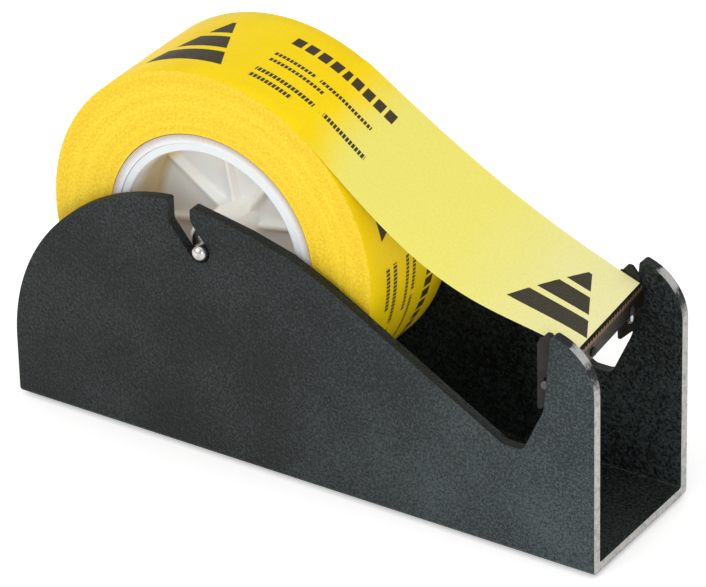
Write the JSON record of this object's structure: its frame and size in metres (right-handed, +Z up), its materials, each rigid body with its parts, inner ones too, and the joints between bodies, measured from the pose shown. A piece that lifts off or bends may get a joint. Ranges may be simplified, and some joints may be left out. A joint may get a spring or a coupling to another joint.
{
  "type": "tape dispenser",
  "caption": "Heavy bench tape dispenser: U-shaped steel channel, lift-out axle with a hub and tape roll, free tape drawn to a toothed cutter between two front horns.",
  "frame": {"origin": "bottom centre of the whole object, on the surface it stands on", "axes": "+X along the frame from the roll to the cutter, +Y across the frame, +Z up"},
  "size_m": [0.2372, 0.0688, 0.1471],
  "materials": {
    "wrinkle_paint": "fine wrinkle",
    "blackened_steel": "blackened",
    "blade_steel": "oiled",
    "plated_steel": "polished",
    "white_plastic": "satin",
    "core_plastic": "matt",
    "yellow_tape": "satin film",
    "pale_yellow_tape": "satin film",
    "black_rubber": "matt"
  },
  "bodies": {
    "frame": {"channel_frame": "wrinkle_paint", "foot_rear_right": "black_rubber", "foot_rear_left": "black_rubber", "foot_front_right": "black_rubber", "foot_front_left": "black_rubber", "cutter_bracket": "blackened_steel", "cutting_blade": "blade_steel", "blade_rivet_right": "blackened_steel", "blade_rivet_left": "blackened_steel", "bracket_screw_right": "plated_steel", "bracket_screw_left": "plated_steel", "lock_washer_right": "plated_steel", "lock_washer_left": "plated_steel", "tape_strip": "pale_yellow_tape"},
    "axle": {"axle_rod": "plated_steel", "spacer_washer_right": "plated_steel", "spacer_washer_left": "plated_steel", "axle_clip_right": "plated_steel", "axle_clip_left": "plated_steel"},
    "roll": {"hub_half_right": "white_plastic", "hub_half_left": "white_plastic", "tape_core": "core_plastic", "tape_roll": "yellow_tape"}
  },
  "joints": [
    {"name": "axle_lift", "type": "slide", "parent": "frame", "child": "axle", "axis": [-0.6198, 0, 0.7848], "range_m": [0, 0.0155], "deforming": ["tape_strip"]},
    {"name": "roll_spin", "type": "hinge", "parent": "axle", "child": "roll", "pos_m": [-0.0373, 0, 0.0819], "axis": [0, 1, 0], "continuous": true}
  ]
}
